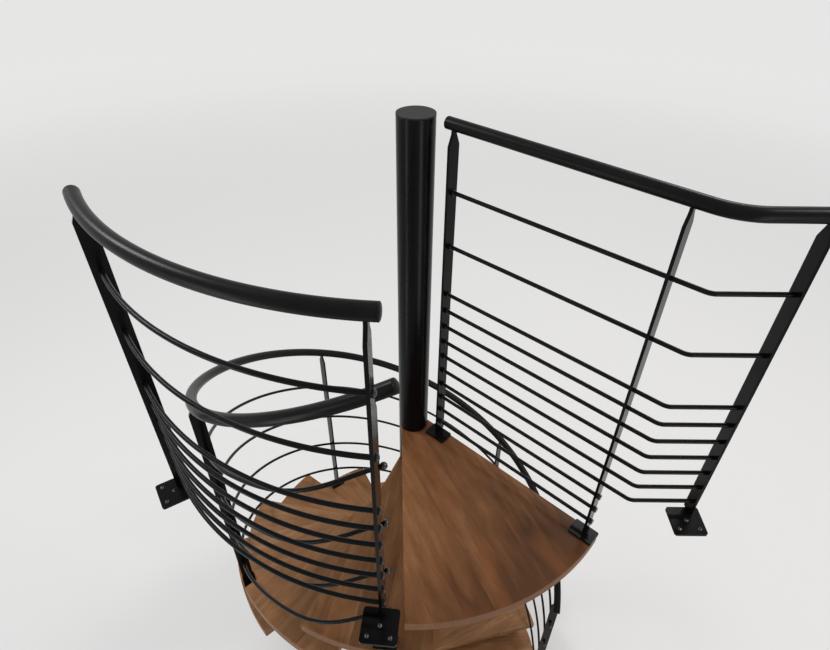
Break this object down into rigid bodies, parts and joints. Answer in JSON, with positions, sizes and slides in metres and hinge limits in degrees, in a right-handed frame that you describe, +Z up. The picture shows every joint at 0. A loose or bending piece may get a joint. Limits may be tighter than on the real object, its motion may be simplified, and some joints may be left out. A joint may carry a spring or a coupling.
{
  "type": "spiral staircase",
  "caption": "Spiral staircase of oak treads around a steel column, with a helical handrail, round bars on flat balusters, and a curved and a bent well guard above.",
  "frame": {"origin": "centre of the base flange's flat lower face, on the column axis, at the lower floor", "axes": "+Z up along the column; -Y from the column towards the landing's open side at the upper floor, +X towards the right guard's end post; the stair climbs counter-clockwise seen from above"},
  "size_m": [1.6226, 1.6839, 3.558],
  "materials": {
    "column_steel": "satin black powder coat",
    "rail_steel": "satin black powder coat",
    "oak": "oiled solid oak boards"
  },
  "bodies": {
    "root": {"base_flange": "column_steel", "centre_pole": "column_steel", "column_sleeves": "column_steel", "upper_column": "column_steel", "column_cap": "column_steel", "tread_01": "oak", "tread_02": "oak", "tread_03": "oak", "tread_04": "oak", "tread_05": "oak", "tread_06": "oak", "tread_07": "oak", "tread_08": "oak", "tread_09": "oak", "tread_10": "oak", "tread_11": "oak", "landing_tread": "oak", "spiral_handrail": "rail_steel", "spiral_bar_1": "rail_steel", "spiral_bar_2": "rail_steel", "spiral_bar_3": "rail_steel", "spiral_bar_4": "rail_steel", "spiral_baluster_1": "rail_steel", "spiral_baluster_2": "rail_steel", "spiral_baluster_3": "rail_steel", "spiral_baluster_4": "rail_steel", "spiral_baluster_5": "rail_steel", "spiral_bar_caps": "rail_steel", "left_guard_handrail": "rail_steel", "left_guard_near_post": "rail_steel", "left_guard_far_post": "rail_steel", "left_guard_upper_bars": "rail_steel", "left_guard_lower_bars": "rail_steel", "left_guard_bar_caps": "rail_steel", "right_guard_handrail": "rail_steel", "right_guard_column_post": "rail_steel", "right_guard_middle_post": "rail_steel", "right_guard_end_post": "rail_steel", "right_guard_upper_bars": "rail_steel", "right_guard_lower_bars": "rail_steel", "right_guard_foot_bars": "rail_steel", "bar_collars": "rail_steel"}
  },
  "joints": []
}
